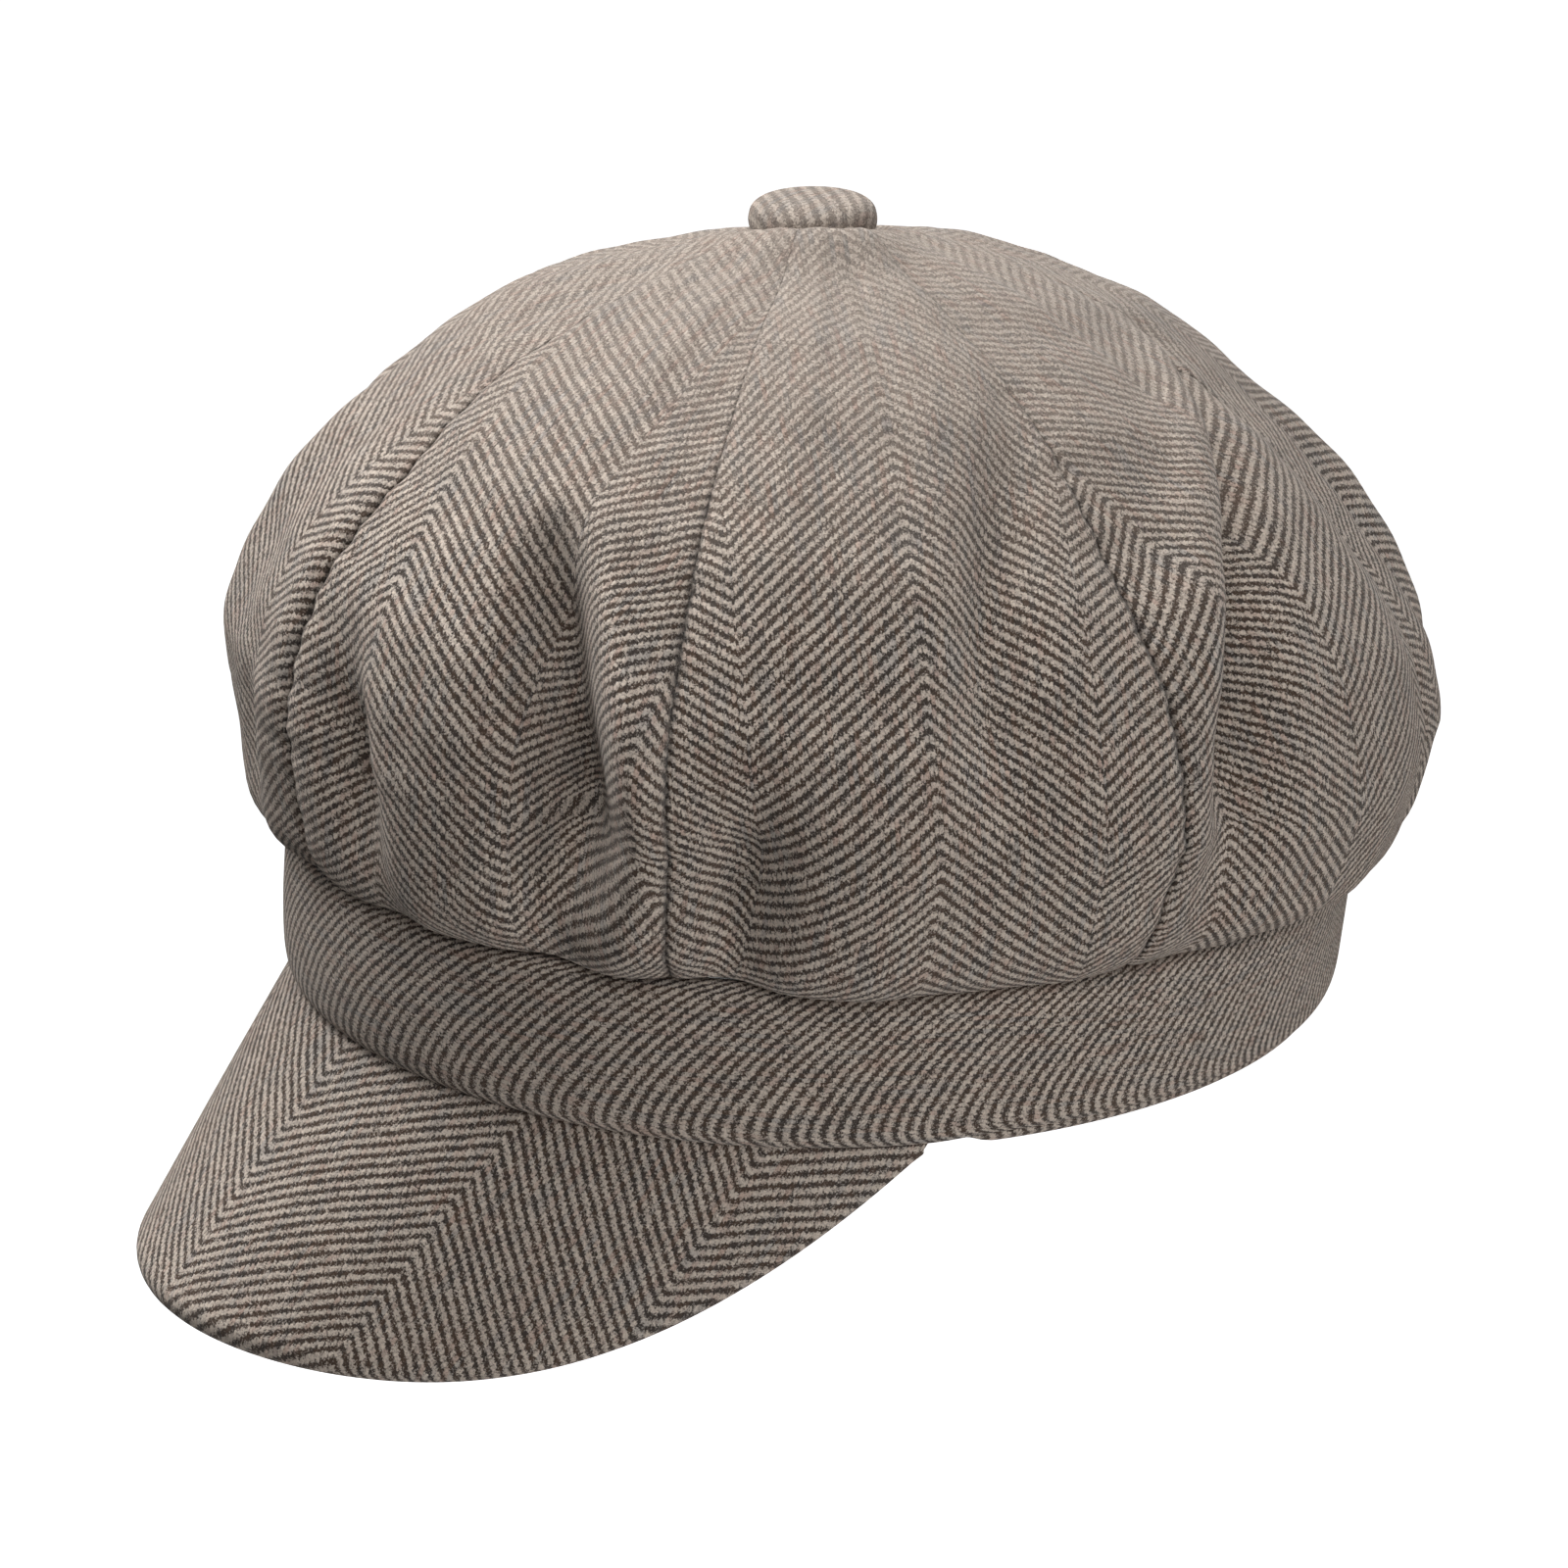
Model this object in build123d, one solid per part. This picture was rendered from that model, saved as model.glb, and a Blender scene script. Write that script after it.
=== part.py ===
"""Eight-panel newsboy cap: crown, lining, band, peak and covered button, in millimetres.

The front of the cap is towards -Y, +Z is up, and the origin is the centre of the head
opening, in the plane of the band's lower edge.
"""
import os
from math import atan2, cos, degrees, pi, radians, sin

from build123d import *

# Cloth and board thicknesses
CLOTH = 1.8
LINING_CLOTH = 0.6
STIFFENER = 1.2
SWEATBAND = 0.8
BOARD = 1.5
PLY_GAP = 0.2

# Band: an oval ring around a 57 cm head
BAND_HALF_WIDTH = 86.0
BAND_HALF_LENGTH = 103.4
BAND_HEIGHT = 27.0
BAND_BULGE = 1.2
HEM_HEIGHT = 1.8

# Crown: an oval dome that overhangs the band, with its apex ahead of the middle
PANELS = 8
GIRTH_HALF_WIDTH = 100.0
GIRTH_HALF_LENGTH = 118.8
GIRTH_HEIGHT = 54.0
GIRTH_SHIFT = 1.9
APEX_HEIGHT = 138.2
APEX_SHIFT = -15.3
APEX_TILT = 5.5
APEX_HOLE = 2.4
DOME_POWER = 1.087
UNDERSIDE_POWER = 1.235
DOME_SECTIONS = 8
UNDERSIDE_SECTIONS = 4

# Lining: hangs a little inside the crown
LINING_OFFSET = 4.5
LINING_DROP = 6.0

# Peak: a crescent sewn under the front of the band, bent like part of a sloping tube
PEAK_REACH = 58.2
PEAK_HALF_ANGLE = 73.2
PEAK_END_SHARE = 0.96
PEAK_SLOPE = 51.7
PEAK_SIDE_DROOP = 19.0
PEAK_NARROWING = 0.26
PEAK_BLUNTNESS = 6.0
PEAK_ROUNDING = 1.1
PEAK_SECTIONS = 25
PEAK_CLOTH = 1.3
PEAK_RIM = 2.0
PEAK_CLEARANCE = 0.5

# Covered button on the apex
BUTTON_RADIUS = 11.5
BUTTON_HEIGHT = 6.4
BUTTON_CLOTH = 0.9
BUTTON_SHELL = 0.6
BUTTON_LIFT = 0.7
BUTTON_BACK = 1.0
BUTTON_LIP = 2.5
BUTTON_EDGE = 2.6
SHANK_RADIUS = 1.4
WASHER_RADIUS = 6.0
WASHER_THICKNESS = 0.8
WASHER_DROP = 1.6

FAR = 400.0


def save(solid, name):
    """Write one node."""
    export_step(solid, f"parts/{name}.step")


def dome_section(share, inset, drop):
    """An oval of the dome: share 0 is the widest girth and 1 the apex."""
    turn = share * pi / 2
    radius_share = max(cos(turn), 0.0) ** DOME_POWER
    height_share = sin(turn) ** DOME_POWER
    top = APEX_HEIGHT - inset - drop
    height = GIRTH_HEIGHT + (top - GIRTH_HEIGHT) * height_share
    shift = GIRTH_SHIFT + (APEX_SHIFT - GIRTH_SHIFT) * share
    plane = Plane(origin=(0, shift, height)).rotated((APEX_TILT * share, 0, 0))
    half_width = (GIRTH_HALF_WIDTH - inset) * radius_share
    half_length = (GIRTH_HALF_LENGTH - inset) * radius_share
    return plane * Ellipse(half_width, half_length)


def underside_section(share, inset):
    """An oval under the overhang: share 0 is the widest girth and 1 the band's top."""
    turn = share * pi / 2
    spread = max(cos(turn), 0.0) ** UNDERSIDE_POWER
    depth = sin(turn) ** UNDERSIDE_POWER
    height = GIRTH_HEIGHT - (GIRTH_HEIGHT - BAND_HEIGHT) * depth
    half_width = BAND_HALF_WIDTH + (GIRTH_HALF_WIDTH - BAND_HALF_WIDTH) * spread - inset
    half_length = BAND_HALF_LENGTH + (GIRTH_HALF_LENGTH - BAND_HALF_LENGTH) * spread - inset
    plane = Plane(origin=(0, GIRTH_SHIFT * (1 - share), height))
    return plane * Ellipse(half_width, half_length)


def dome(inset, drop=0.0):
    """The solid inside a crown surface that lies inset from the outside of the crown."""
    sections = []
    for step in range(UNDERSIDE_SECTIONS, 0, -1):
        sections.append(underside_section(step / UNDERSIDE_SECTIONS, inset))
    for step in range(DOME_SECTIONS):
        sections.append(dome_section(step / DOME_SECTIONS, inset, drop))
    sections.append(dome_section(1 - 0.12 / DOME_SECTIONS, inset, drop))
    return loft(sections)


def crown_axis():
    """The leaning line on which all the panel seams meet."""
    lean = degrees(atan2(-APEX_SHIFT, APEX_HEIGHT - BAND_HEIGHT))
    return Plane(origin=(0, 0, BAND_HEIGHT)).rotated((lean, 0, 0))


def gore(index):
    """A wedge from the leaning axis that holds one panel."""
    first = radians(360 / PANELS * index)
    second = radians(360 / PANELS * (index + 1))
    reach = FAR / cos(pi / PANELS)
    corner_a = (reach * sin(first), -reach * cos(first))
    corner_b = (reach * sin(second), -reach * cos(second))
    outline = make_face(Polyline((0, 0), corner_a, corner_b, close=True))
    return crown_axis() * Pos(0, 0, -FAR / 2) * extrude(outline, FAR)


def panels(outer_inset, thickness, drop, name):
    """Cut a thin dome into its panels, with a small hole where they meet.

    The panels on the far side are mirror images of the near ones.
    """
    skin = dome(outer_inset, drop) - dome(outer_inset + thickness, drop)
    apex = Pos(0, APEX_SHIFT, APEX_HEIGHT) * Rot(APEX_TILT, 0, 0)
    skin -= apex * Cylinder(APEX_HOLE, BUTTON_RADIUS * 4)
    for index in range(PANELS // 2):
        panel = skin & gore(index)
        save(panel, f"{name}_{index + 1}")
        save(mirror(panel, about=Plane.YZ), f"{name}_{PANELS - index}")


def oval(inset, height, rise=0.0):
    """One oval of the band, drawn in from its outer face."""
    return Pos(0, 0, height) * Ellipse(BAND_HALF_WIDTH - inset + rise, BAND_HALF_LENGTH - inset + rise)


def ring(inset, thickness, low, high):
    """A straight oval ring inside the band."""
    outer = extrude(oval(inset, low), high - low)
    return outer - extrude(oval(inset + thickness, low), high - low)


def band():
    """The outer cloth with its turned hem, the stiffener and the sweatband."""
    body = loft([
        oval(0, 0),
        oval(0, BAND_HEIGHT / 3, BAND_BULGE),
        oval(0, BAND_HEIGHT * 2 / 3, BAND_BULGE),
        oval(0, BAND_HEIGHT),
    ])
    wall = body - extrude(oval(CLOTH, 0), BAND_HEIGHT)
    hem = ring(CLOTH, PLY_GAP + STIFFENER, 0, HEM_HEIGHT)
    save(wall + hem, "band_outer")
    stiffener_inset = CLOTH + PLY_GAP
    stiffener_low = HEM_HEIGHT + PLY_GAP
    save(ring(stiffener_inset, STIFFENER, stiffener_low, BAND_HEIGHT - PLY_GAP), "band_stiffener")
    sweat_inset = stiffener_inset + STIFFENER + PLY_GAP
    save(ring(sweat_inset, SWEATBAND, PLY_GAP, BAND_HEIGHT - PLY_GAP), "sweatband")


def peak_section(share, low, high, rim, lip=None):
    """One cross-section of a peak layer, from the seam outwards.

    share runs from -1 at one end of the seam to 1 at the other. low and high are the
    layer's faces, measured down from the top of the peak. rim is how far the layer stays
    back from the outer edge, and lip is the height that its edge turns up to.
    """
    angle = radians(PEAK_HALF_ANGLE) * share
    seam_half_width = BAND_HALF_WIDTH - CLOTH
    seam_half_length = BAND_HALF_LENGTH - CLOTH
    origin = Vector(seam_half_width * sin(angle), -seam_half_length * cos(angle), -PEAK_CLEARANCE)
    seam = Vector(seam_half_width * cos(angle), seam_half_length * sin(angle), 0)
    slope = radians(PEAK_SLOPE + PEAK_SIDE_DROOP * share ** 2)
    inward = -PEAK_NARROWING * sin(angle)
    along = Vector(inward, -cos(slope), -sin(slope)).normalized()
    up = along.cross(seam).normalized()
    reach = PEAK_REACH * (1 - abs(share) ** PEAK_BLUNTNESS) ** PEAK_ROUNDING
    start = PEAK_CLEARANCE

    def place(distance, depth):
        return origin + along * distance - up * depth

    points = [place(start, high), place(start, low)]
    if lip is None:
        points += [place(reach - rim, low), place(reach - rim, high)]
    else:
        inner = reach - PEAK_RIM + PLY_GAP
        points += [place(reach - rim, low), place(reach - rim, lip)]
        points += [place(inner, lip), place(inner, high)]
    return make_face(Polyline(*points, close=True))


def peak_layer(low, high, rim, lip=None):
    """A curved layer of the peak, lofted from one end of the seam to the other."""
    sections = []
    for step in range(PEAK_SECTIONS):
        share = PEAK_END_SHARE * (2 * step / (PEAK_SECTIONS - 1) - 1)
        sections.append(peak_section(share, low, high, rim, lip))
    return loft(sections)


def peak():
    """Upper cloth, board and lower cloth, with the lower cloth turned up at the rim."""
    top = PEAK_CLEARANCE
    board_top = top + PEAK_CLOTH + PLY_GAP
    board_low = board_top + BOARD
    lower_top = board_low + PLY_GAP
    save(peak_layer(top + PEAK_CLOTH, top, 0), "peak_upper")
    save(peak_layer(board_low, board_top, PEAK_RIM), "peak_board")
    save(peak_layer(lower_top + PEAK_CLOTH, lower_top, 0, board_top), "peak_lower")


def button():
    """Cloth-covered button with a domed shell, a back with a shank, and a washer."""
    seat = Pos(0, APEX_SHIFT, APEX_HEIGHT + BUTTON_LIFT) * Rot(APEX_TILT, 0, 0)
    body = Pos(0, 0, BUTTON_HEIGHT / 2) * Cylinder(BUTTON_RADIUS, BUTTON_HEIGHT)
    body = fillet(body.edges().group_by(Axis.Z)[-1], BUTTON_EDGE)
    hollow = Pos(0, 0, BUTTON_HEIGHT / 2) * Cylinder(
        BUTTON_RADIUS - BUTTON_CLOTH, BUTTON_HEIGHT - 2 * BUTTON_CLOTH)
    hollow = fillet(hollow.edges().group_by(Axis.Z)[-1], BUTTON_EDGE - BUTTON_CLOTH)
    mouth = Cylinder(BUTTON_RADIUS - BUTTON_LIP, BUTTON_HEIGHT)
    save(seat * (body - hollow - mouth), "button_cover")

    shell_radius = BUTTON_RADIUS - BUTTON_CLOTH - PLY_GAP / 2
    shell_low = BUTTON_CLOTH + PLY_GAP / 2
    shell_height = BUTTON_HEIGHT - 2 * shell_low
    shell = Pos(0, 0, BUTTON_HEIGHT / 2) * Cylinder(shell_radius, shell_height)
    shell = fillet(shell.edges().group_by(Axis.Z)[-1], BUTTON_EDGE - BUTTON_CLOTH)
    inside = Pos(0, 0, shell_low + (shell_height - BUTTON_SHELL) / 2) * Cylinder(
        shell_radius - BUTTON_SHELL, shell_height - BUTTON_SHELL)
    save(seat * (shell - inside), "button_shell")

    back_radius = shell_radius - BUTTON_SHELL - PLY_GAP / 2
    back = Pos(0, 0, shell_low + BUTTON_BACK / 2) * Cylinder(back_radius, BUTTON_BACK)
    shank_low = -BUTTON_LIFT - CLOTH - WASHER_DROP - WASHER_THICKNESS
    shank_height = shell_low + BUTTON_BACK / 2 - shank_low
    shank = Pos(0, 0, shank_low + shank_height / 2) * Cylinder(SHANK_RADIUS, shank_height)
    save(seat * (back + shank), "button_back")

    washer = Cylinder(WASHER_RADIUS, WASHER_THICKNESS) - Cylinder(SHANK_RADIUS, WASHER_THICKNESS)
    washer_height = shank_low + WASHER_THICKNESS / 2
    save(seat * Pos(0, 0, washer_height) * washer, "button_washer")


os.makedirs("parts", exist_ok=True)
panels(0.0, CLOTH, 0.0, "crown_panel")
panels(LINING_OFFSET, LINING_CLOTH, LINING_DROP, "lining_panel")
band()
peak()
button()
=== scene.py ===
# %% [markdown]
# # A newsboy cap in brushed herringbone wool
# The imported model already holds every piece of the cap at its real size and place.
# This lesson dresses it: each cloth piece is rebuilt as a curved sheet with its seams,
# folds and weave, and each hidden fitting gets a finish. We work in millimetres while
# shaping, because tailors do, and scale to metres only when a mesh is written.

import bmesh
import bpy
import numpy as np
from mathutils import Matrix, Vector


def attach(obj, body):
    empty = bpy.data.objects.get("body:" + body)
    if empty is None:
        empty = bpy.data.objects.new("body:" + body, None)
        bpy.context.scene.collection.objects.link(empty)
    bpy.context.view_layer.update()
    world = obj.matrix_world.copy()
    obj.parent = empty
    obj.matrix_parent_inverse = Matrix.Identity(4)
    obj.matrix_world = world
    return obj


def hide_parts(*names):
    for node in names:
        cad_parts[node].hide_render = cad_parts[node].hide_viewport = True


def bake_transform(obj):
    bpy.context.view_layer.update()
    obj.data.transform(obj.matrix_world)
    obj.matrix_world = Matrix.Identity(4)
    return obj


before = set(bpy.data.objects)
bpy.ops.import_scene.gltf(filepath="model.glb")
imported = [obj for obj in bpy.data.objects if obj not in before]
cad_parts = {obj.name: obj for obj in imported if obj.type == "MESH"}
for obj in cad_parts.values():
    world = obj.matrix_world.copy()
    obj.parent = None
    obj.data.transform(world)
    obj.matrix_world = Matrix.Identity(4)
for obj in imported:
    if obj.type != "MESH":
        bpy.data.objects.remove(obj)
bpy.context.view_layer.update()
MM = 0.001

# %% [markdown]
# ## The camera
# A product picture of a cap is taken from the front quarter, a little above the band.
# We give the camera by its azimuth, elevation, roll and distance, and build its matrix
# from three directions: right, up and back. A fairly long lens keeps the oval of the
# band from looking stretched.

# %% Camera
AZIMUTH, ELEVATION, ROLL = np.radians([55.4, 19.8, 4.63])
DISTANCE = 695.0
LENS = 83.7
AIM_ACROSS, AIM_HEIGHT = -9.8, 31.0

back = np.array([np.sin(AZIMUTH) * np.cos(ELEVATION),
                 -np.cos(AZIMUTH) * np.cos(ELEVATION), np.sin(ELEVATION)])
flat_right = np.array([np.cos(AZIMUTH), np.sin(AZIMUTH), 0.0])
flat_up = np.cross(back, flat_right)
right = flat_right * np.cos(ROLL) + flat_up * np.sin(ROLL)
up = flat_up * np.cos(ROLL) - flat_right * np.sin(ROLL)
aim = flat_right * AIM_ACROSS + np.array([0, 0, AIM_HEIGHT])
place = (aim + back * DISTANCE) * MM

camera = bpy.data.objects.new("camera", bpy.data.cameras.new("camera"))
camera.data.lens = LENS
camera.data.sensor_width = 36.0
camera.matrix_world = Matrix(((right[0], up[0], back[0], place[0]),
                              (right[1], up[1], back[1], place[1]),
                              (right[2], up[2], back[2], place[2]),
                              (0, 0, 0, 1)))
bpy.context.scene.collection.objects.link(camera)
bpy.context.scene.camera = camera
print("camera at", np.round(place, 3))

# %% [markdown]
# ## Nodes written as sums
# A weave is arithmetic: stripes, zigzags and yarns are all functions of how far we are
# across and along the cloth. Node trees for that soon fill a screen, so a small class
# wraps a socket and lets us write `across / 2 + 1`, which adds the Math nodes for us.

# %% The class that turns expressions into nodes
class Wire:
    """One output socket, which can be used in arithmetic."""

    def __init__(self, tree, socket):
        self.tree = tree
        self.socket = socket

    def node(self, kind, settings=None, values=None, output=0):
        """Any node: settings are set first, then sockets get values or links."""
        made = self.tree.nodes.new(kind)
        for key, value in (settings or {}).items():
            if key == "stops":
                fill_ramp(made, value)
            else:
                setattr(made, key, value)
        for key, value in (values or {}).items():
            if isinstance(value, Wire):
                self.tree.links.new(value.socket, made.inputs[key])
            else:
                made.inputs[key].default_value = value
        return Wire(self.tree, made.outputs[output])

    def math(self, operation, *others):
        values = {index + 1: other for index, other in enumerate(others)}
        return self.node("ShaderNodeMath", {"operation": operation}, {0: self, **values})

    def __add__(self, other):
        return self.math("ADD", other)

    def __radd__(self, other):
        return self.math("ADD", other)

    def __sub__(self, other):
        return self.math("SUBTRACT", other)

    def __rsub__(self, other):
        return self.math("MULTIPLY_ADD", -1.0, other)

    def __mul__(self, other):
        return self.math("MULTIPLY", other)

    def __rmul__(self, other):
        return self.math("MULTIPLY", other)

    def __truediv__(self, other):
        return self.math("DIVIDE", other)

    def smooth(self, low, high):
        """0 below low, 1 above high, and an even slope between."""
        return self.node("ShaderNodeMapRange", {"interpolation_type": "SMOOTHSTEP"},
                         {"Value": self, "From Min": low, "From Max": high})

    def tint(self, other, share):
        """This colour where share is 0 and the other where it is 1."""
        return self.node("ShaderNodeMix", {"data_type": "RGBA"},
                         {0: share, 6: self, 7: other}, output=2)

    def shade(self, amount):
        """This colour multiplied by a number."""
        return self.node("ShaderNodeVectorMath", {"operation": "SCALE"},
                         {0: self, "Scale": amount})


def fill_ramp(ramp_node, stops):
    """Sets a colour ramp's stops from a list of (place, colour)."""
    elements = ramp_node.color_ramp.elements
    while len(elements) < len(stops):
        elements.new(0.5)
    for element, (spot, colour) in zip(elements, stops):
        element.position = spot
        element.color = colour


def new_material(name, **constants):
    """An empty material with a Principled shader whose own sockets are set."""
    material = bpy.data.materials.new(name)
    material.use_nodes = True
    shader = material.node_tree.nodes["Principled BSDF"]
    for key, value in constants.items():
        shader.inputs[key.replace("_", " ")].default_value = value
    return material, shader, Wire(material.node_tree, None)


def connect(wire, shader, socket_name):
    """Feeds one of the shader's sockets."""
    wire.tree.links.new(wire.socket, shader.inputs[socket_name])


def noise(start, vector, scale, detail=2.0, roughness=0.5):
    """Noise of about 1/scale per lump, in the vector's own units."""
    return start.node("ShaderNodeTexNoise", None,
                      {"Vector": vector, "Scale": scale, "Detail": detail,
                       "Roughness": roughness})


def colour_wire(start, colour):
    """A colour as a wire, so that it can be tinted."""
    return start.node("ShaderNodeMix", {"data_type": "RGBA"}, {0: 0.0, 6: colour, 7: colour},
                      output=2)


def object_place(start):
    """Where a point of the piece is, in metres."""
    return start.node("ShaderNodeTexCoord", output=3)


def part_of(vector, index):
    """One number out of a vector: 0, 1 or 2."""
    return vector.node("ShaderNodeSeparateXYZ", None, {0: vector}, output=index)


# %% [markdown]
# ## The herringbone
# Herringbone is a two-up, two-down twill whose direction is turned over every few
# centimetres. Light warp yarns float over dark weft for two picks, and each float starts
# one pick higher than its neighbour, so the floats line up as slanting ribs. Every
# cloth mesh below carries a UV map named "weave" that holds millimetres across and along
# the cloth as it was cut, so this one function dresses them all. The ribs come from the
# stepped floats, mixed with a straight slant because brushing the cloth blurs the steps.
# Melange yarn varies in tint along its length, and the brushed nap is a fine noise in
# the colour and the bump. High on the crown the ribs are faded and the colour is tinted
# paler, as painted sheen where light glances off the top. A second UV map named "seam"
# holds millimetres from the nearest seam and down it. It darkens the colour in a narrow
# line along each seam and along the band's edge as painted shade, stepped with each stitch.

# %% The cloth material
RIB_SLANT = 0.82
RIB_RISE = 2.45
YARN_WIDTH = 0.85
STITCH = 2.9
STRIPE_WIDTH = 30.0
STRIPE_WANDER, RIB_WANDER = 1.3, 0.9
STEPPED_SHARE = 0.6
FINE_FUZZ, SOFT_BLUR = 2600.0, 700.0
FUZZ_REACH, BLUR_REACH, YARN_REACH = 3.0, 1.2, 0.16
RIB_DARK, RIB_LIGHT = 0.24, 1.0

OATMEAL = (0.56, 0.48, 0.41, 1.0)
ROSE = (0.42, 0.29, 0.235, 1.0)
SLATE = (0.33, 0.32, 0.31, 1.0)
UMBER = (0.064, 0.040, 0.028, 1.0)
INK = (0.040, 0.031, 0.027, 1.0)
# This colour and the next two lines set the painted sheen on the top of the crown: its pale tint, the
# heights in metres where it starts and is full, and its strength.
SHEEN_PAINT_TINT = (0.43, 0.40, 0.375, 1.0)
SHEEN_PAINT_FROM, SHEEN_PAINT_TO = 0.085, 0.142
SHEEN_PAINT_SHARE, SHEEN_PAINT_TONE, SHEEN_PAINT_TINT_SHARE = 0.68, 0.54, 0.12


def yarns(start, place, wander, stripe):
    """The ribs from 0 to 1, each yarn's roundness, and the yarn's own coordinates."""
    weave = start.node("ShaderNodeUVMap", {"uv_map": "weave"})
    across = part_of(weave, 0) + wander * STRIPE_WANDER
    along = part_of(weave, 1) + (noise(start, place, 90.0, 2.0) - 0.5) * RIB_WANDER
    folded = across.math("PINGPONG", stripe)
    yarn_number = (folded / YARN_WIDTH).math("FLOOR") + 0.5
    stepped = yarn_number * YARN_WIDTH
    slant = stepped * STEPPED_SHARE + folded * (1 - STEPPED_SHARE)
    turn = (along + slant * RIB_SLANT) / RIB_RISE
    rib = (turn * (2 * np.pi)).math("SINE") * 0.5 + 0.5
    roundness = ((folded / YARN_WIDTH) * np.pi).math("SINE").math("ABSOLUTE")
    yarn_place = start.node("ShaderNodeCombineXYZ", None,
                            {0: yarn_number * 3.7, 1: along * 0.11, 2: wander * 0.4})
    return rib, roundness, yarn_place


# Painted shade: the colour is darkened in a narrow line near each seam, stepped with each stitch.
def painted_seam_shade(start, blur):
    """1 on open cloth, falling to a half in painted shade near a seam, stepped with each stitch."""
    seam = start.node("ShaderNodeUVMap", {"uv_map": "seam"})
    stitch = (part_of(seam, 1) * (2 * np.pi / STITCH)).math("SINE") * 0.25
    return (part_of(seam, 0) + (blur - 0.5) * 0.8 + stitch).smooth(-0.1, 1.1) * 0.50 + 0.50


def herringbone(name, stripe=STRIPE_WIDTH, top_sheen=1.0):
    """Brushed herringbone wool, read from the weave map, with painted sheen that pales it high on the
    crown.
    """
    material, shader, start = new_material(
        name, Roughness=0.95, Sheen_Weight=0.26, Sheen_Roughness=0.40,
        Sheen_Tint=(1.0, 0.93, 0.87, 1.0), Specular_IOR_Level=0.12)
    place = object_place(start)
    wander = noise(start, place, 55.0, 3.0) - 0.5
    rib, roundness, yarn_place = yarns(start, place, wander, stripe)

    fuzz = noise(start, place, FINE_FUZZ, 3.0, 0.65)
    blur = noise(start, place, SOFT_BLUR, 2.0, 0.6)
    melange = noise(start, yarn_place, 1.0, 2.0, 0.6)
    tint_place = start.node("ShaderNodeVectorMath", {"operation": "ADD"},
                            {0: yarn_place, 1: (31.7, 8.3, 4.1)})
    cool = noise(start, tint_place, 0.8, 2.0, 0.6)

    stray = (fuzz - 0.5) * FUZZ_REACH + (blur - 0.5) * BLUR_REACH
    light = (rib + stray + roundness * YARN_REACH).smooth(RIB_DARK, RIB_LIGHT) * 0.92 + 0.04
    # Painted sheen: above a set height the ribs are faded to one tone, standing in for light glancing
    # off the top.
    painted_sheen = part_of(place, 2).smooth(SHEEN_PAINT_FROM, SHEEN_PAINT_TO) * (SHEEN_PAINT_SHARE * top_sheen)
    light = light * (1.0 - painted_sheen) + painted_sheen * SHEEN_PAINT_TONE

    pale = colour_wire(start, OATMEAL)
    pale = pale.tint(colour_wire(start, ROSE), melange.smooth(0.50, 0.70) * 0.70)
    pale = pale.tint(colour_wire(start, SLATE), cool.smooth(0.53, 0.72) * 0.50)
    deep = colour_wire(start, UMBER).tint(colour_wire(start, INK), cool.smooth(0.4, 0.6))
    # The painted sheen also tints the colour paler.
    cloth = deep.tint(pale, light).tint(colour_wire(start, SHEEN_PAINT_TINT), painted_sheen * SHEEN_PAINT_TINT_SHARE)
    strength = 0.04 + fuzz * 1.62 + roundness * 0.10 + melange * 0.16
    # The colour is multiplied here by the painted shade along the seams.
    connect(cloth.shade(strength * painted_seam_shade(start, blur)), shader, "Base Color")

    relief = light * 0.7 + roundness * light * 0.25 + fuzz * 0.7
    bump = start.node("ShaderNodeBump", None,
                      {"Strength": 0.6, "Distance": 0.0006, "Height": relief})
    connect(bump, shader, "Normal")
    return material


CROWN_CLOTH = herringbone("crown herringbone")
BAND_CLOTH = herringbone("band herringbone", stripe=60.0)
PEAK_CLOTH = herringbone("peak herringbone", stripe=38.0)
# The button gets a little less of the painted sheen.
BUTTON_CLOTH = herringbone("button herringbone", stripe=60.0, top_sheen=0.8)
print("cloth materials", CROWN_CLOTH.name, BAND_CLOTH.name)

# %% [markdown]
# ## A cloth sheet from rows of points
# Every cloth piece here is a grid: rows run round the cap, columns run up it. The helper
# turns a grid of points, in millimetres, into a mesh, gives it the weave map, and lets a
# Solidify modifier add the cloth's thickness on the inside. Applying the modifier at
# once keeps the piece a plain closed mesh.

# %% The sheet helper
FAR_FROM_SEAM = 50.0


def build_sheet(name, points, weave, thickness, material, body="cap",
                seam=FAR_FROM_SEAM):
    """A closed cloth mesh from a grid of points and a grid of weave positions."""
    rows, columns = points.shape[:2]
    index = np.arange(rows * columns).reshape(rows, columns)
    quads = np.stack([index[:-1, :-1], index[:-1, 1:], index[1:, 1:], index[1:, :-1]], -1)
    quads = quads.reshape(-1, 4)
    mesh = bpy.data.meshes.new(name)
    mesh.from_pydata((points.reshape(-1, 3) * MM).tolist(), [], quads.tolist())
    corners = np.empty(len(mesh.loops), dtype=np.int32)
    mesh.loops.foreach_get("vertex_index", corners)
    from_seam = np.stack([seam + 0 * weave[..., 0], weave[..., 1]], -1)
    for map_name, values in (("weave", weave), ("seam", from_seam)):
        layer = mesh.uv_layers.new(name=map_name)
        layer.data.foreach_set("uv", values.reshape(-1, 2)[corners].astype(np.float32).ravel())
    mesh.materials.append(material)
    mesh.shade_smooth()
    piece = bpy.data.objects.new(name, mesh)
    bpy.context.scene.collection.objects.link(piece)
    solid = piece.modifiers.new("cloth thickness", "SOLIDIFY")
    solid.thickness = thickness * MM
    solid.offset = -1.0
    apply_modifiers(piece)
    if body is not None:
        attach(piece, body)
    return piece


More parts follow.
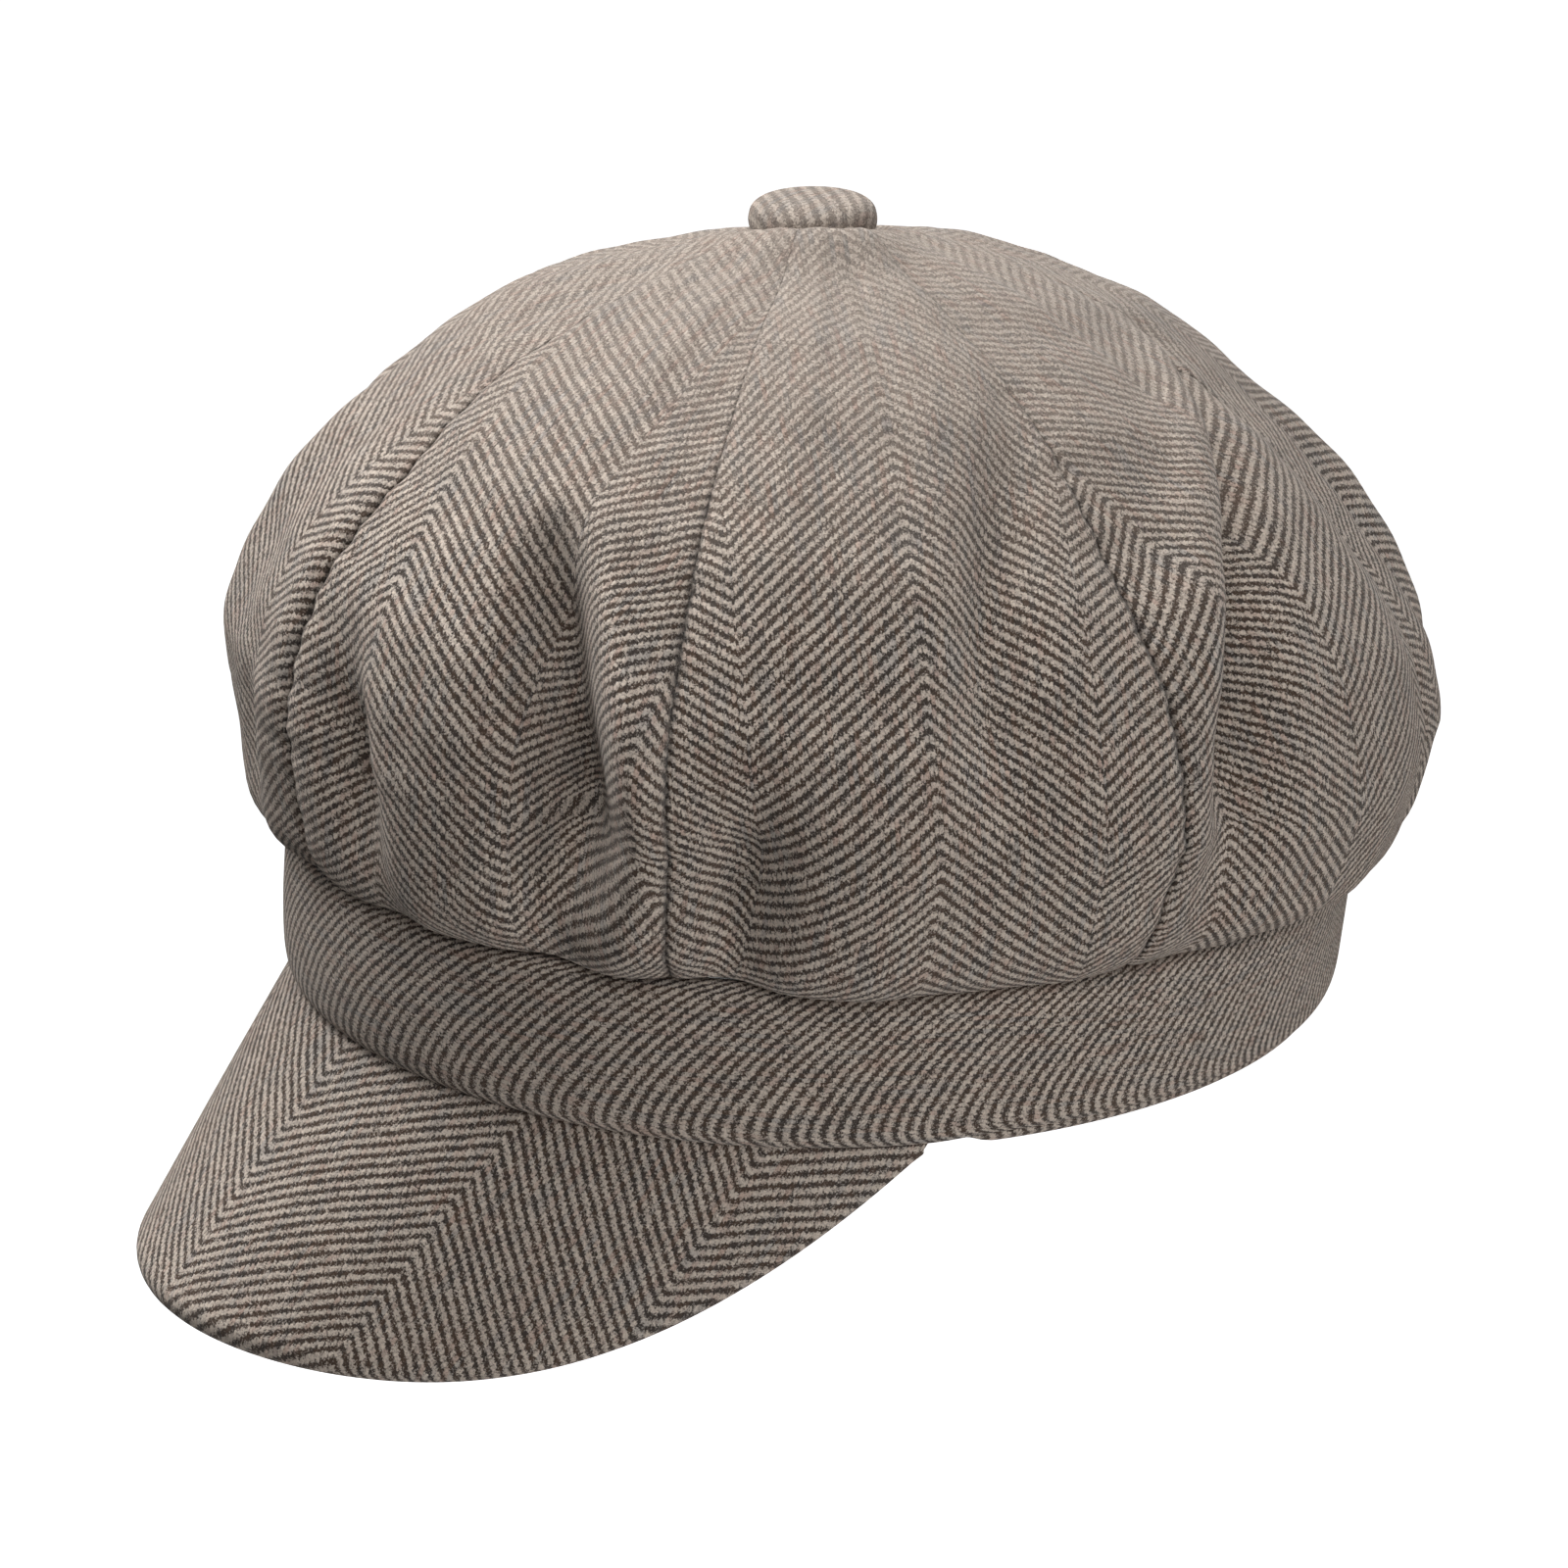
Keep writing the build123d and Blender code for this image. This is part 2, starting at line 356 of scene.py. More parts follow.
def apply_modifiers(piece):
    """Replaces the mesh with its evaluated form and clears the modifiers."""
    graph = bpy.context.evaluated_depsgraph_get()
    finished = bpy.data.meshes.new_from_object(piece.evaluated_get(graph))
    piece.modifiers.clear()
    piece.data = finished


def lengths(points, axis):
    """Running length along rows (axis 1) or columns (axis 0) of a grid."""
    steps = np.linalg.norm(np.diff(points, axis=axis), axis=-1)
    total = np.cumsum(steps, axis=axis)
    first = np.zeros_like(np.take(total, [0], axis=axis))
    return np.concatenate([first, total], axis=axis)


def normals(points):
    """Unit normals of a grid of points."""
    cross = np.cross(np.gradient(points, axis=1), np.gradient(points, axis=0))
    size = np.linalg.norm(cross, axis=-1, keepdims=True)
    return cross / np.maximum(size, 1e-9)


def ease(value):
    """A smooth step from 0 to 1."""
    value = np.clip(value, 0, 1)
    return value * value * (3 - 2 * value)


# %% [markdown]
# ## The crown's shape
# Eight gores are sewn into a dome that is wider than the band, so it bulges out and then
# turns under. We describe the dome with two numbers: the angle round the head, 0 at the
# front, and the rise, 0 at the band and 1 under the button. The same oval rule as the
# design gives the smooth dome, and folds are added on top of it.

# %% The smooth dome
UNDER = 0.19
BAND_OVAL = np.array([86.0, 103.4])
GIRTH_OVAL = np.array([100.0, 118.8])
BAND_TOP, GIRTH_HEIGHT, APEX_HEIGHT = 27.0, 54.0, 140.5
GIRTH_SHIFT, APEX_SHIFT, APEX_TILT = 1.9, -15.3, np.radians(5.5)
DOME_POWER, UNDER_POWER = 1.087, 1.235


def dome(angle, rise, inset=0.0):
    """Points of the smooth dome, in millimetres."""
    under = rise < UNDER
    share = np.where(under, 1 - rise / UNDER, (rise - UNDER) / (1 - UNDER))
    turn = np.clip(share, 0, 1) * np.pi / 2
    near = np.maximum(np.cos(turn), 0)
    far = np.maximum(np.sin(turn), 0)
    spread = near ** UNDER_POWER
    ovals = []
    for side in range(2):
        low = BAND_OVAL[side] + (GIRTH_OVAL[side] - BAND_OVAL[side]) * spread - inset
        high = (GIRTH_OVAL[side] - inset) * near ** DOME_POWER
        ovals.append(np.where(under, low, high))
    low_height = GIRTH_HEIGHT - (GIRTH_HEIGHT - BAND_TOP) * far ** UNDER_POWER
    top = APEX_HEIGHT - inset
    high_height = GIRTH_HEIGHT + (top - GIRTH_HEIGHT) * far ** DOME_POWER
    height = np.where(under, low_height, high_height)
    shift = np.where(under, GIRTH_SHIFT * (1 - share),
                     GIRTH_SHIFT + (APEX_SHIFT - GIRTH_SHIFT) * share)
    tilt = np.where(under, 0.0, APEX_TILT * share)
    sideways = ovals[0] * np.sin(angle)
    lengthways = -ovals[1] * np.cos(angle)
    return np.stack([sideways, shift + lengthways * np.cos(tilt),
                     height + lengthways * np.sin(tilt)], -1)


print("dome: widest", 2 * GIRTH_OVAL[0], "by", 2 * GIRTH_OVAL[1], "mm")

# %% [markdown]
# ## Folds
# A full crown that is gathered into a small band can't stay smooth: it falls into soft
# upright folds that are deepest near the widest part and die out towards the button.
# Each fold is a line of angles at four rises, a depth (positive stands out, negative
# sinks in), a width in degrees, and the rises where it starts, is deepest, and ends.
# They are set one by one, as a hatter would steam them, and each gore has its own set. The
# two very wide ones aren't folds but how full the cloth stands on that side. A cubic
# curve through the four angles keeps each line smooth.

# %% Listed folds
FOLD_RISES = (0.1, 0.3, 0.5, 0.7)
FOLD_LOW, FOLD_HIGH = 0.04, 0.76
FOLDS = [
    # front gore on the wearer's left
    ((2, -1, -2, -3), 2.4, 4.0, (0.10, 0.33, 0.60)),
    ((12, 8, 5, 3), -9.5, 4.2, (0.0, 0.20, 0.44)),
    ((34, 34.5, 29, 19), -12.0, 3.8, (0.02, 0.44, 0.56)),
    ((34, 34.5, 29, 19), -14.0, 4.6, (0.0, 0.20, 0.50)),
    ((42, 42, 36, 26), 6.5, 3.6, (0.0, 0.30, 0.64)),
    # gore beside the face
    ((51, 52, 52, 52), -8.0, 3.6, (0.0, 0.14, 0.36)),
    ((62, 63, 64, 65), 3.2, 5.5, (0.0, 0.16, 0.42)),
    ((76, 74, 77, 90), -6.5, 4.4, (0.14, 0.45, 0.74)),
    ((80, 81, 82, 84), 1.8, 5.0, (0.05, 0.30, 0.60)),
    # gore behind the ear: one big pleat
    ((88.5, 91.5, 101.5, 130), 5.0, 5.2, (0.02, 0.40, 0.84)),
    ((96.5, 99.5, 110, 138.5), -12.5, 4.4, (0.0, 0.34, 0.80)),
    ((120, 122, 127, 140), 1.6, 8.0, (0.05, 0.35, 0.60)),
    ((148, 148, 148, 148), -5.0, 24.0, (0.18, 0.50, 0.90)),
    # back gores
    ((148, 150, 152, 154), -5.0, 4.6, (0.04, 0.40, 0.70)),
    ((163, 161, 160, 160), 3.2, 4.6, (0.05, 0.36, 0.66)),
    ((171, 170, 169, 168), -3.2, 3.6, (0.0, 0.15, 0.34)),
    ((196, 197, 199, 201), -4.6, 4.4, (0.06, 0.42, 0.70)),
    ((208, 208, 209, 210), 3.4, 4.8, (0.04, 0.34, 0.66)),
    ((217, 216, 216, 215), -3.4, 3.6, (0.0, 0.14, 0.32)),
    # gore behind the other ear
    ((236, 238, 240, 243), -5.4, 4.4, (0.05, 0.38, 0.70)),
    ((248, 249, 250, 251), 3.6, 4.4, (0.03, 0.34, 0.68)),
    ((262, 262, 261, 260), -3.6, 3.8, (0.0, 0.16, 0.36)),
    # gore beside the face, other side
    ((282, 284, 285, 286), -5.0, 4.6, (0.06, 0.40, 0.72)),
    ((294, 294, 294, 295), 3.4, 4.4, (0.04, 0.34, 0.66)),
    ((304, 303, 302, 300), -3.8, 3.8, (0.0, 0.15, 0.34)),
    # front gore on the wearer's right, which is the fullest
    ((325, 325, 325, 325), 3.2, 26.0, (0.35, 0.68, 0.92)),
    ((324, 326, 328, 330), -4.6, 4.4, (0.06, 0.42, 0.72)),
    ((334, 334, 335, 336), 3.0, 4.6, (0.06, 0.36, 0.66)),
    ((347, 349, 351, 352), -3.0, 4.0, (0.02, 0.18, 0.38)),
]


def away(degrees_round, centre):
    """Signed degrees from a fold or seam, the short way round."""
    return (degrees_round - centre + 180) % 360 - 180


def fold_depth(angle, rise):
    """How far the folds push the cloth out, in millimetres."""
    around = np.degrees(angle)
    depth = np.zeros(np.broadcast(angle, rise).shape)
    for angles, height, width, (start, peak, end) in FOLDS:
        line = np.polyfit(FOLD_RISES, angles, 3)
        centre = np.polyval(line, np.clip(rise, FOLD_LOW, FOLD_HIGH))
        window = ease((rise - start) / (peak - start + 1e-6)) * ease((end - rise) / (end - peak))
        depth += height * window * np.exp(-(away(around, centre) / width) ** 2)
    return depth


print(len(FOLDS), "folds, the deepest", min(fold[1] for fold in FOLDS), "mm")

# %% [markdown]
# ## Seams, ripples and the sagging top
# Along each seam the cloth dips into a shallow valley with a narrow crease at its bottom,
# and the stitches pucker it a little. Soft wool is never quite even either, so a faint
# ripple runs over everything. At the top the crown sinks behind the button, dips where
# the button's thread pulls it down, and puffs up round that dip on the near side. Just
# above the band the gathered cloth is sewn in, then hangs out over it.

# %% Seams and ripples
SEAMS = 8
SEAM_STEP = 360 / SEAMS
VALLEY_DEPTH, VALLEY_WIDTH = 1.9, 8.0
CREASE_DEPTH, CREASE_EXTRA, CREASE_WIDTH = 0.35, 0.6, 1.1
PUCKER_DEPTH, PUCKER_WIDTH = 0.28, 4.5
CREASE_FADE = 0.4
RIPPLE_LARGE, RIPPLE_SMALL = 0.7, 0.28


def seam_depth(angle, rise, radius):
    """The valleys along the eight seams, with a slight pucker."""
    around = np.degrees(angle)
    seam_number = np.round(around / SEAM_STEP)
    nearest = away(around, seam_number * SEAM_STEP)
    distance = np.abs(np.radians(nearest)) * radius
    middle = ease(rise / 0.1) * ease((0.97 - rise) / 0.5)
    valley = -VALLEY_DEPTH * middle * np.exp(-(distance / VALLEY_WIDTH) ** 1.4)
    crease = -(CREASE_DEPTH + CREASE_EXTRA * middle) * np.exp(-(distance / CREASE_WIDTH) ** 1.5)
    crease = crease * (1 - ease((rise - CREASE_FADE) / CREASE_FADE))
    pucker = PUCKER_DEPTH * np.sin(rise * 150 + seam_number * 1.7) * np.exp(-distance / PUCKER_WIDTH)
    return valley + crease + pucker * middle


def ripple(angle, rise):
    """Very shallow unevenness of soft cloth."""
    wave = np.sin(9 * angle + 11 * rise + 0.7) * np.sin(5 * angle - 17 * rise)
    small = np.sin(23 * angle + 31 * rise + 2.0) * np.sin(17 * angle - 41 * rise + 0.4)
    fade = ease(rise / 0.08) * ease((1 - rise) / 0.2)
    return (RIPPLE_LARGE * wave + RIPPLE_SMALL * small) * fade


# %% The sagging top and the whole crown
SLUMP_ANGLE, SLUMP = np.radians(235.0), 5.0
SLUMP_START, SLUMP_REACH = 20.0, 70.0
DIMPLE, DIMPLE_RADIUS, DIMPLE_EDGE = 2.4, 10.5, 4.0
PUFF, PUFF_ANGLE = 4.4, np.radians(55.0)
PUFF_RADIUS, PUFF_WIDTH = 15.0, 6.0
SEWN_IN, SEWN_RISE = 3.0, 0.05
OVERHANG, OVERHANG_RISE, OVERHANG_WIDTH = 2.2, 0.085, 0.04


def slump(angle, smooth):
    """How the soft top sinks behind the button, and dips and puffs where it pulls."""
    from_apex = np.hypot(smooth[..., 0], smooth[..., 1] - APEX_SHIFT)
    far = np.clip(np.cos(angle - SLUMP_ANGLE), 0, 1)
    near = np.clip(np.cos(angle - PUFF_ANGLE), 0, 1) ** 1.5
    sink = SLUMP * far * (1 - np.exp(-from_apex / SLUMP_START)) * np.exp(-(from_apex / SLUMP_REACH) ** 2)
    dip = DIMPLE * (1 - ease((from_apex - DIMPLE_RADIUS) / DIMPLE_EDGE))
    puff = PUFF * near * np.exp(-((from_apex - PUFF_RADIUS) / PUFF_WIDTH) ** 2)
    return puff - sink - dip


def crown(angle, rise, folds=1.0, seams=1.0):
    """Points of the crown, with all or some of the depth of its folds and seams."""
    smooth = dome(angle, rise)
    radius = np.hypot(smooth[..., 0], smooth[..., 1] - APEX_SHIFT * rise)
    push = folds * fold_depth(angle, rise)
    push += seams * (seam_depth(angle, rise, radius) + ripple(angle, rise))
    push -= SEWN_IN * (1 - ease(rise / SEWN_RISE))
    push += OVERHANG * np.exp(-((rise - OVERHANG_RISE) / OVERHANG_WIDTH) ** 2)
    points = smooth + normals(smooth) * push[..., None]
    points[..., 2] += slump(angle, smooth)
    return points


print("the top sinks", SLUMP, "mm behind the button and hangs", OVERHANG, "mm over the band")

# %% [markdown]
# ## Cutting the gores
# A gore is cut with a stripe down its middle, so the herringbone runs from the band to
# the button and meets its neighbour at a slant along the seam. The weave map holds
# millimetres across from the gore's middle line and along it. It is measured on cloth
# with half the folds' depth, because wool also stretches into a fold. Rows near the
# button curve, so the along value rises towards the seams there. No cutter lays every
# gore exactly on a stripe, so some are cut a little to one side.

# %% Crown panels
GORE_COLUMNS, GORE_ROWS = 72, 120
WOOL = 1.5
CROWN_TOP = 0.982
SEAM_FADE = 0.7
WEAVE_FOLDS = 0.5


def gore_weave(points, offset):
    """Across and along for a grid whose middle column is the gore's middle."""
    middle = points.shape[1] // 2
    across = lengths(points, 1)
    across = across - across[:, middle:middle + 1]
    along = lengths(points, 0)[:, middle]
    ring = np.linalg.norm(points[:, 0] - points[:, -1], axis=-1) / (2 * np.sin(np.pi / SEAMS))
    slope = np.gradient(ring, along)
    bend = -slope / np.maximum(ring, 1.0)
    lift = 0.5 * bend[:, None] * across ** 2
    return np.stack([across + offset, along[:, None] + lift], -1)


CUT_SHIFTS = (-13.0, 0.0, 0.0, 4.0, -6.0, 3.0, 0.0, 7.0)
rise_rows = np.linspace(0.0, CROWN_TOP, GORE_ROWS)
for number in range(SEAMS):
    edges = np.radians([SEAM_STEP * number, SEAM_STEP * (number + 1)])
    angle_columns = np.linspace(edges[0], edges[1], GORE_COLUMNS + 1)
    angles, rises = np.meshgrid(angle_columns, rise_rows)
    points = crown(angles, rises)
    offset = STRIPE_WIDTH if number % 2 == 0 else 0.0
    offset += CUT_SHIFTS[number]
    weave = gore_weave(crown(angles, rises, folds=WEAVE_FOLDS, seams=0.0), offset)
    # The seam map counts millimetres from the nearest side seam or from the band, and fades near the
    # top, so the painted shade also darkens the line where the crown meets the band.
    run = lengths(points, 1)
    from_seam = np.minimum(run, run[:, -1:] - run)
    from_seam += SEAM_FADE * ease((rises - CREASE_FADE) / CREASE_FADE)
    from_seam = np.minimum(from_seam, lengths(points, 0))
    piece = build_sheet(f"crown_gore_{number + 1}", points, weave, WOOL, CROWN_CLOTH,
                        seam=from_seam)
    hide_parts(f"crown_panel_{number + 1}")
    if number == 1:
        print("gore: widest", round(lengths(points, 1)[:, -1].max()), "mm, long",
              round(lengths(points, 0)[-1].max()), "mm")

# %% [markdown]
# ## Smaller finishes
# The lining is a dark satin: nearly smooth, with a soft sheen and faint fine threads.
# The sweatband is a grosgrain ribbon, whose thick ribs run across it. The stiffener is a
# felted sheet, the board a milky plastic, and the button's fittings are pressed metal.

# %% Lining, ribbon and inner materials
THREADS = 14.0
RIBBON_RIB = 0.9


def satin():
    """Dark lining satin."""
    material, shader, start = new_material(
        "lining satin", Roughness=0.38, Sheen_Weight=0.15, Specular_IOR_Level=0.45)
    spot = object_place(start)
    weave = start.node("ShaderNodeUVMap", {"uv_map": "weave"})
    threads = (part_of(weave, 0) * THREADS).math("SINE") * 0.5 + 0.5
    cloud = noise(start, spot, 60.0, 3.0)
    colour = colour_wire(start, (0.030, 0.026, 0.024, 1.0)).tint(
        colour_wire(start, (0.052, 0.045, 0.041, 1.0)), cloud.smooth(0.35, 0.65))
    connect(colour.shade(0.85 + threads * 0.15), shader, "Base Color")
    connect(0.34 + cloud * 0.12, shader, "Roughness")
    bump = start.node("ShaderNodeBump", None, {
        "Strength": 0.25, "Distance": 0.0002, "Height": threads + noise(start, spot, 900.0)})
    connect(bump, shader, "Normal")
    return material


def grosgrain():
    """Ribbon with thick cross ribs."""
    material, shader, start = new_material(
        "grosgrain ribbon", Roughness=0.62, Sheen_Weight=0.2, Specular_IOR_Level=0.35)
    spot = object_place(start)
    weave = start.node("ShaderNodeUVMap", {"uv_map": "weave"})
    ribs = (part_of(weave, 1) * (2 * np.pi / RIBBON_RIB)).math("SINE") * 0.5 + 0.5
    fuzz = noise(start, spot, 1800.0, 3.0)
    colour = colour_wire(start, (0.016, 0.014, 0.013, 1.0)).tint(
        colour_wire(start, (0.055, 0.048, 0.043, 1.0)), ribs * 0.8 + fuzz * 0.2)
    connect(colour, shader, "Base Color")
    connect(0.5 + fuzz * 0.25, shader, "Roughness")
    bump = start.node("ShaderNodeBump", None, {
        "Strength": 0.6, "Distance": 0.0004, "Height": ribs + fuzz * 0.3})
    connect(bump, shader, "Normal")
    return material


def speckled(name, dark, light, scale, rough_low, rough_high, metal=0.0):
    """A plain finish broken up by two sizes of noise."""
    material, shader, start = new_material(name, Metallic=metal)
    spot = object_place(start)
    coarse = noise(start, spot, scale, 4.0, 0.6)
    fine = noise(start, spot, scale * 9, 3.0, 0.6)
    colour = colour_wire(start, dark).tint(colour_wire(start, light), coarse.smooth(0.3, 0.7))
    connect(colour, shader, "Base Color")
    connect(rough_low + fine * (rough_high - rough_low), shader, "Roughness")
    bump = start.node("ShaderNodeBump", None, {
        "Strength": 0.3, "Distance": 0.0002, "Height": fine + coarse})
    connect(bump, shader, "Normal")
    return material


LINING_SATIN = satin()
RIBBON = grosgrain()
FELTED = speckled("felted stiffener", (0.62, 0.60, 0.56, 1), (0.80, 0.79, 0.75, 1), 400, 0.8, 1.0)
BOARD_PLASTIC = speckled("board plastic", (0.66, 0.66, 0.63, 1), (0.76, 0.76, 0.73, 1), 80, 0.3, 0.55)
PRESSED_METAL = speckled("pressed metal", (0.50, 0.49, 0.47, 1), (0.66, 0.65, 0.63, 1), 150, 0.3, 0.5, 1)
for node, material in (("band_stiffener", FELTED), ("button_shell", PRESSED_METAL),
                       ("button_back", PRESSED_METAL), ("button_washer", PRESSED_METAL)):
    for material_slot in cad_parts[node].material_slots:
        material_slot.material = material
print("finishes", FELTED.name, BOARD_PLASTIC.name, PRESSED_METAL.name)

# %% [markdown]
# ## The lining
# The lining is cut like the crown but a little smaller, and hangs just inside it. Where
# the wool folds in deeply the lining has to give way, so it starts from the smooth dome,
# stays a few millimetres in, and moves further in only where a fold would touch it.

# %% Lining gores
LINING_INSET, LINING_DROP, SATIN = 4.8, 8.3, 0.5
LINING_SLACK, LINING_SEAM, CRUMPLE = 1.0, 0.8, 0.35
LINING_ROWS, LINING_COLUMNS, LINING_TOP = 70, 40, 0.985


def lining(angle, rise):
    """Points of the lining, which gives way to the folds."""
    smooth = dome(angle, rise, LINING_INSET)
    radius = np.hypot(smooth[..., 0], smooth[..., 1])
    push = fold_depth(angle, rise) + seam_depth(angle, rise, radius)
    push = np.minimum(push + LINING_SLACK, 0.0) - LINING_DROP * ease((rise - 0.55) / 0.4)
    around = np.degrees(angle)
    nearest = away(around, np.round(around / SEAM_STEP) * SEAM_STEP)
    seam = LINING_SEAM * np.exp(-(np.radians(nearest) * radius / 2.0) ** 2)
    crumple = CRUMPLE * np.sin(14 * angle + 30 * rise) * np.sin(26 * rise - 6 * angle)
    crumple = crumple * ease(rise / 0.1)
    return smooth + normals(smooth) * (push - seam + crumple)[..., None]


lining_rows = np.linspace(0.0, LINING_TOP, LINING_ROWS)
for number in range(SEAMS):
    edges = (SEAM_STEP * number, SEAM_STEP * (number + 1))
    angle_columns = np.radians(np.linspace(edges[0], edges[1], LINING_COLUMNS + 1))
    angles, rises = np.meshgrid(angle_columns, lining_rows)
    points = lining(angles, rises)
    piece = build_sheet(f"lining_gore_{number + 1}", points, gore_weave(points, 0.0),
                        SATIN, LINING_SATIN)
    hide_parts(f"lining_panel_{number + 1}")

# %% [markdown]
# ## Curves through a few points
# Profiles such as the edge of the band are easiest to give as a handful of points. A
# Catmull-Rom curve passes through every one of them and rounds the corners between.

# %% Curve helper
def curve_through(knots, steps):
    """Points of a smooth curve through the knots, with that many steps between each pair."""
    knots = np.asarray(knots, float)
    padded = np.concatenate([2 * knots[:1] - knots[1:2], knots, 2 * knots[-1:] - knots[-2:-1]])
    out = []
    for index in range(len(knots) - 1):
        a, b, c, d = padded[index:index + 4]
        for part in np.linspace(0, 1, steps, endpoint=False):
            out.append(0.5 * (2 * b + (c - a) * part + (2 * a - 5 * b + 4 * c - d) * part ** 2
                              + (3 * b - a - 3 * c + d) * part ** 3))
    out.append(knots[-1])
    return np.array(out)


def around_oval(profile, angles):
    """A ring from a profile of (outwards, height) points that may change with the angle."""
    out_x = np.sin(angles) / BAND_OVAL[0]
    out_y = -np.cos(angles) / BAND_OVAL[1]
    size = np.hypot(out_x, out_y)
    x = BAND_OVAL[0] * np.sin(angles) + profile[..., 0] * out_x / size
    y = -BAND_OVAL[1] * np.cos(angles) + profile[..., 0] * out_y / size
    return np.stack([x, y, profile[..., 1] + 0 * x], -1)


def ring_weave(points):
    """Across is down the profile and along is round the ring."""
    return np.stack([lengths(points, 0), lengths(points, 1)], -1)


# %% [markdown]
# ## The band
# The band is a strip of the same cloth cut with its stripes running round the head, so
# all its ribs slant one way. It bulges over its stiffener, is rolled under at the bottom,
# and turned up inside as a hem. Behind the peak the hem shows as a thin second edge. The
# strip is joined at the back of the head, so the grid starts and ends there.

# %% Band cloth
RING_STEPS = 420
BAND_FRONT = [(-2.6, 24.0), (-1.6, 26.2), (-0.2, 27.2), (1.1, 26.7), (1.9, 24.2), (2.2, 15.0),
              (1.9, 7.0), (1.3, 2.5), (0.4, 0.6), (-0.7, 0.0), (-1.8, 0.1), (-2.5, 1.0),
              (-2.7, 4.0), (-2.75, 7.0)]
BAND_BACK = [(-2.6, 24.0), (-1.6, 26.2), (-0.2, 27.2), (1.1, 26.7), (1.9, 24.2), (2.2, 15.0),
             (1.9, 7.0), (1.4, 3.0), (0.6, 1.4), (-0.4, 0.9), (-0.6, 0.3), (-0.9, -0.5),
             (-1.9, -0.8), (-2.75, 7.0)]
PEAK_END = 73.2


def band_profile(angles):
    """The band's profile at each angle, easing from the front one to the back one."""
    front = curve_through(BAND_FRONT, 5)
    rear = curve_through(BAND_BACK, 5)
    behind = ease((np.abs(np.degrees(angles)) - PEAK_END + 2.0) / 8.0)[None, :, None]
    profile = front[:, None] * (1 - behind) + rear[:, None] * behind
    height = profile[..., 1] / 27
    sway = 0.45 * np.sin(3 * angles + 0.8) + 0.3 * np.sin(7 * angles + 2.0) + 0.15 * np.sin(13 * angles)
    sway = sway - 1.3 * np.exp(-((np.degrees(angles) - 145) / 35) ** 2)
    profile[..., 0] += sway * np.sin(np.pi * np.clip(height, 0, 1))
    profile[..., 1] += 0.35 * np.sin(4 * angles + 1.0) * (1 - height)
    return profile


ring_angles = np.radians(np.linspace(-180, 180, RING_STEPS + 1))
band_points = around_oval(band_profile(ring_angles), ring_angles)
band_cloth = build_sheet("band_cloth", band_points, ring_weave(band_points), 1.4, BAND_CLOTH)
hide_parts("band_outer")

# %% [markdown]
# ## The sweatband
# Inside the band lies a ribbon that touches the head. It is stitched along its lower
# edge and stands a little away from the band at the top.

# %% Sweatband
RIBBON_PROFILE = [(-3.1, 1.4), (-3.3, 3.0), (-3.6, 8.0), (-4.0, 16.0), (-4.3, 23.0), (-4.4, 25.8)]
ribbon_profile = curve_through(RIBBON_PROFILE, 5)[::-1][:, None] + np.zeros((1, RING_STEPS + 1, 1))
ribbon_profile[..., 0] += 0.25 * np.sin(11 * ring_angles) * (ribbon_profile[..., 1] / 27)
ribbon_points = around_oval(ribbon_profile, ring_angles)
ribbon = build_sheet("sweatband_ribbon", ribbon_points, ring_weave(ribbon_points), 0.6, RIBBON)
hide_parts("sweatband")

# %% [markdown]
# ## The peak
# The peak is a stiff board with cloth on both faces. Every straight line from the seam
# to the rim is a ruling of one smooth bent surface, which we name by its share: -1 and 1
# at the ends of the seam, 0 in the middle. A point is then a share, a distance down the
# ruling and a depth below the top face. The cloth is cut with its stripes along the
# rulings, so the weave map measures along one fixed direction and across it.

# %% The peak's surface
PEAK_SEAM = np.array([84.2, 101.6])
PEAK_CLEARANCE = 0.5
PEAK_REACH, PEAK_SLOPE, PEAK_DROOP, PEAK_NARROWING = 58.2, 51.7, 19.0, 0.26
PEAK_BLUNTNESS, PEAK_ROUNDING = 6.0, 1.1
PEAK_THICKNESS = 4.5
PEAK_SHARES = 0.985 * np.sin(np.linspace(-np.pi / 2, np.pi / 2, 181))
STRIPE_TURN = np.radians(3.0)


def peak_surface(share, distance, depth):
    """Points of the peak at a share of the seam, a distance out and a depth down."""
    angle = np.radians(PEAK_END) * share
    flat = 0 * (angle + distance + depth)
    origin = np.stack([PEAK_SEAM[0] * np.sin(angle) + flat,
                       -PEAK_SEAM[1] * np.cos(angle) + flat, flat - PEAK_CLEARANCE], -1)
    seam = np.stack([PEAK_SEAM[0] * np.cos(angle) + flat,
                     PEAK_SEAM[1] * np.sin(angle) + flat, flat], -1)
    slope = np.radians(PEAK_SLOPE + PEAK_DROOP * share ** 2)
    ruling = np.stack([-PEAK_NARROWING * np.sin(angle) + flat, -np.cos(slope) + flat,
                       -np.sin(slope) + flat], -1)
    ruling /= np.linalg.norm(ruling, axis=-1, keepdims=True)
    face = np.cross(ruling, seam)
    face /= np.linalg.norm(face, axis=-1, keepdims=True)
    return origin + ruling * (distance + flat)[..., None] - face * (depth + flat)[..., None]


def peak_reach(share):
    """How far the rim is from the seam."""
    return PEAK_REACH * (1 - np.abs(share) ** PEAK_BLUNTNESS) ** PEAK_ROUNDING


